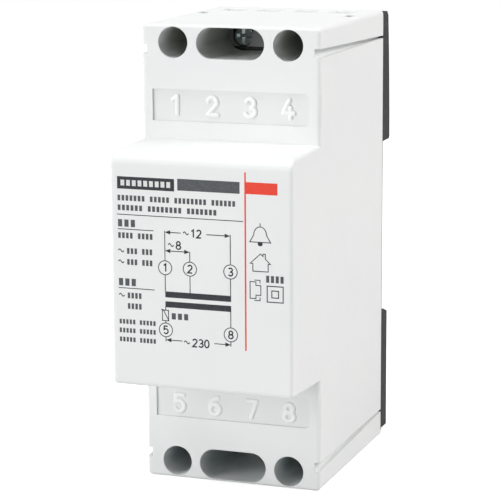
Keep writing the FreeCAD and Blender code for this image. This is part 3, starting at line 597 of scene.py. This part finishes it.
lines += stroke(rectangle(-7.78, -6.55, -9.1, -7.1), LINE, True)
lines += stroke([(-8.0, -7.0), (-7.6, -7.0), (-6.45, -9.15)], LINE)
for x, z in ((-2.9, 7.85), (-5.9, 5.46), (-2.9, -12.98),
             (-16.0, 3.82), (-16.0, 1.72), (-16.0, -4.73)):
    lines += sine(x, z)
for number, x, z in (((1, 2), -1.5, 7.85), ((8,), -4.4, 5.46), ((2, 3, 0), -1.3, -12.98)):
    for place, digit in enumerate(number):
        lines += printed_digit(digit, x + DIGIT_PITCH * place, z)
print_piece("print_circuit", lines, INK)

# Outlines of a bell, a house, a rail clip and a double square
signs = []
bell = [(9.72, 7.02)] + arc(11.76, 8.35, 1.25, 1.55, 180, 0, 14) + [(13.8, 7.02)]
signs += stroke(bell, LINE, True)
signs += stroke([(11.76, 9.9), (11.76, 10.6)], LINE)
signs += [arc(11.76, 6.7, 0.5, 0.42, 0, 360, 16)[:-1]]
house = [(10.3, 1.55), (10.3, 3.0), (9.8, 3.0), (11.8, 4.85), (12.3, 4.4), (12.3, 4.85), (12.75, 4.85),
         (12.75, 3.95), (13.75, 3.0), (13.3, 3.0), (13.3, 1.55)]
signs += stroke(house, LINE, True)
clip = [(9.75, -3.6), (9.75, -0.45), (10.9, -0.45), (10.9, -1.1),
        (11.85, -1.1), (11.85, -2.95), (10.9, -2.95), (10.9, -3.6)]
signs += stroke(clip, LINE, True)
signs += stroke([(10.6, -0.12), (11.7, -0.12), (11.7, -0.7)], LINE)
signs += stroke([(10.6, -3.95), (11.7, -3.95), (11.7, -3.35)], LINE)
signs += stroke(rectangle(13.1, 16.2, -4.1, -1.1), BOLD_LINE, True)
signs += stroke(rectangle(14.0, 15.3, -3.25, -1.95), BOLD_LINE, True)
print_piece("print_signs", signs, INK)


# Raised digits on the two number panels

RAISED_X = (-11.2, -3.72, 3.95, 11.65)
RAISED_UPPER_Z = 29.5
RAISED_LOWER_Z = -29.76
RAISED_HALF_HEIGHT = 1.66
BEAD_R = 0.5
BEAD_RISE = 0.68
SKIN_STEP = 0.07
SHARP = math.radians(35)


def runs_between_corners(path):
    """The path, split wherever it turns sharply."""
    runs = [[path[0]]]
    for i in range(1, len(path)):
        runs[-1].append(path[i])
        if i < len(path) - 1:
            before = Vector(path[i]) - Vector(path[i - 1])
            after = Vector(path[i + 1]) - Vector(path[i])
            if before.angle(after) > SHARP:
                runs.append([path[i]])
    return runs


def bead(run):
    """Round bar along one run, in the plane y = 0, as a temporary mesh."""
    curve = bpy.data.curves.new("bead", "CURVE")
    curve.dimensions = "3D"
    curve.bevel_depth = BEAD_R * MM
    curve.bevel_resolution = 4
    curve.use_fill_caps = True
    spline = curve.splines.new("POLY")
    spline.points.add(len(run) - 1)
    for point, (x, z) in zip(spline.points, run):
        point.co = (x * MM, 0, z * MM, 1)
    holder = bpy.data.objects.new("bead", curve)
    mesh = bpy.data.meshes.new_from_object(holder)
    bpy.data.objects.remove(holder)
    return mesh


def one_skin(mesh):
    """One closed skin round all the overlapping forms of a mesh."""
    holder = bpy.data.objects.new("skin", mesh)
    bpy.context.scene.collection.objects.link(holder)
    fuse = holder.modifiers.new("fuse", "REMESH")
    fuse.mode = "VOXEL"
    fuse.voxel_size = SKIN_STEP * MM
    ease = holder.modifiers.new("ease", "SMOOTH")
    ease.factor = 0.5
    ease.iterations = 4
    bpy.context.view_layer.update()
    shown = holder.evaluated_get(bpy.context.evaluated_depsgraph_get())
    skin = bpy.data.meshes.new_from_object(shown)
    bpy.data.objects.remove(holder)
    return skin


def raised_digit(digit, x, z):
    """Rounded bead along the digit's strokes with round ends, half sunk in the panel's floor."""
    form = bmesh.new()
    for path in digit_paths(digit, x, z, RAISED_HALF_HEIGHT):
        for run in runs_between_corners(path):
            form.from_mesh(bead(run))
            for px, pz in (run[0], run[-1]):
                end = Matrix.Translation((px * MM, 0, pz * MM))
                bmesh.ops.create_uvsphere(
                    form, u_segments=14, v_segments=10, radius=BEAD_R * MM, matrix=end)
    flatten = Matrix.Diagonal((1, BEAD_RISE, 1, 1))
    form.transform(Matrix.Translation((0, PANEL_FLOOR_Y * MM, 0)) @ flatten)
    parts = bpy.data.meshes.new("digit_parts")
    form.to_mesh(parts)
    form.free()
    mesh = one_skin(parts)
    mesh.name = "raised_digit_%d" % digit
    for polygon in mesh.polygons:
        polygon.use_smooth = True
    mesh.materials.append(PAINTED_LIGHT_DIGIT_PLASTIC)
    piece = bpy.data.objects.new("raised_digit_%d" % digit, mesh)
    bpy.context.scene.collection.objects.link(piece)
    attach(piece, "housing")


for place, x in enumerate(RAISED_X):
    raised_digit(place + 1, x, RAISED_UPPER_Z)
    raised_digit(place + 5, x, RAISED_LOWER_Z)


# The latch's spring: a copy of its CAD mesh with a mesh of its own, fixed to the housing in place of the
# CAD node; the latch presses the real spring together on its way down

spring = bpy.data.objects.new("spring_bends", nodes["latch_spring"].data.copy())
bpy.context.scene.collection.objects.link(spring)
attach(spring, "housing")
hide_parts("latch_spring")
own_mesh(spring)


# Floor, light and camera

FLOOR_HALF = 6
FLOOR_GLOW = 0.62
WORLD_LIGHT = 0.03
WORLD_SEEN = 1.0
COOL = (0.985, 1.0, 1.0)
WARM = (1.0, 0.995, 0.985)
LIGHT_TARGET = (0, -0.03, 0)
CAMERA_PLACE = (0.14138, -0.42703, 0.08207)
CAMERA_AZIMUTH = math.radians(19.752)
CAMERA_PITCH = math.radians(11.127)
CAMERA_ROLL = math.radians(-0.290)
SENSOR_WIDTH = 36.0
LENS = 155.23


def seen_by_eye(tree):
    """One for rays from the camera, a mirror or glass, zero for light that falls on the object."""
    rays = tree.nodes.new("ShaderNodeLightPath")
    total = rays.outputs["Is Camera Ray"]
    for kind in ("Is Glossy Ray", "Is Transmission Ray"):
        either = tree.nodes.new("ShaderNodeMath")
        either.operation = "MAXIMUM"
        tree.links.new(total, either.inputs[0])
        tree.links.new(rays.outputs[kind], either.inputs[1])
        total = either.outputs[0]
    return total


def floor_material():
    """Paper that lights the object as paper does and looks nearly white, with the object's soft shadow."""
    material, tree, shader, coords = new_material("floor")
    paper = ramp(tree, noise(tree, coords, 3), (0.61, 0.61, 0.61), (0.63, 0.63, 0.63))
    tree.links.new(paper, shader.inputs["Base Color"])
    shader.inputs["Roughness"].default_value = 0.9
    shader.inputs["Specular IOR Level"].default_value = 0.1
    glow = tree.nodes.new("ShaderNodeEmission")
    glow.inputs["Strength"].default_value = FLOOR_GLOW
    seen_white = tree.nodes.new("ShaderNodeAddShader")
    tree.links.new(shader.outputs[0], seen_white.inputs[0])
    tree.links.new(glow.outputs[0], seen_white.inputs[1])
    choice = tree.nodes.new("ShaderNodeMixShader")
    tree.links.new(seen_by_eye(tree), choice.inputs["Fac"])
    tree.links.new(shader.outputs[0], choice.inputs[1])
    tree.links.new(seen_white.outputs[0], choice.inputs[2])
    tree.links.new(choice.outputs[0], tree.nodes["Material Output"].inputs["Surface"])
    return material


floor_mesh = bpy.data.meshes.new("floor")
floor_z = cad_box[0][2]
floor_corners = rectangle(-FLOOR_HALF, FLOOR_HALF, -FLOOR_HALF, FLOOR_HALF)
floor_mesh.from_pydata([(x, y, floor_z) for x, y in floor_corners], [], [(0, 1, 2, 3)])
floor_mesh.materials.append(floor_material())
floor = bpy.data.objects.new("floor", floor_mesh)
bpy.context.scene.collection.objects.link(floor)

world = bpy.data.worlds.new("studio")
bpy.context.scene.world = world
world.use_nodes = True
world_tree = world.node_tree
back = world_tree.nodes["Background"]
back.inputs["Color"].default_value = (1, 1, 1, 1)
world_level = world_tree.nodes.new("ShaderNodeMapRange")
world_level.inputs["To Min"].default_value = WORLD_LIGHT
world_level.inputs["To Max"].default_value = WORLD_SEEN
world_tree.links.new(seen_by_eye(world_tree), world_level.inputs["Value"])
world_tree.links.new(world_level.outputs["Result"], back.inputs["Strength"])


def area_light(name, place, size, watts, colour):
    """Square lamp that faces the object, with its width in metres."""
    light = bpy.data.lights.new(name, "AREA")
    light.color = colour
    light.shape = "SQUARE"
    light.size = size
    light.energy = watts
    lamp = bpy.data.objects.new(name, light)
    lamp.location = place
    aim = Vector(LIGHT_TARGET) - Vector(place)
    lamp.rotation_euler = aim.to_track_quat("-Z", "Y").to_euler()
    bpy.context.scene.collection.objects.link(lamp)


area_light("key_light", (-1.5, -1.7, 0.55), 1.1, 25.2, COOL)
area_light("front_light", (-0.38, -2.2, 0.25), 0.6, 9.6, COOL)
area_light("upper_light", (-0.9, -0.6, 1.7), 0.9, 14.6, COOL)
area_light("top_light", (0.0, -0.3, 2.0), 1.0, 8.0, COOL)
area_light("side_light", (1.45, 0.15, 1.3), 0.7, 31.2, WARM)

ahead = Vector((
    -math.sin(CAMERA_AZIMUTH) * math.cos(CAMERA_PITCH),
    math.cos(CAMERA_AZIMUTH) * math.cos(CAMERA_PITCH),
    -math.sin(CAMERA_PITCH)))
level_right = Vector((math.cos(CAMERA_AZIMUTH), math.sin(CAMERA_AZIMUTH), 0))
level_up = level_right.cross(ahead)
right = math.cos(CAMERA_ROLL) * level_right + math.sin(CAMERA_ROLL) * level_up
up = -math.sin(CAMERA_ROLL) * level_right + math.cos(CAMERA_ROLL) * level_up
lens = bpy.data.cameras.new("camera")
lens.sensor_width = SENSOR_WIDTH
lens.lens = LENS
camera = bpy.data.objects.new("camera", lens)
camera.matrix_world = Matrix((
    (right.x, up.x, -ahead.x, CAMERA_PLACE[0]),
    (right.y, up.y, -ahead.y, CAMERA_PLACE[1]),
    (right.z, up.z, -ahead.z, CAMERA_PLACE[2]),
    (0, 0, 0, 1)))
bpy.context.scene.collection.objects.link(camera)
bpy.context.scene.camera = camera
bpy.context.scene.view_settings.view_transform = "Standard"
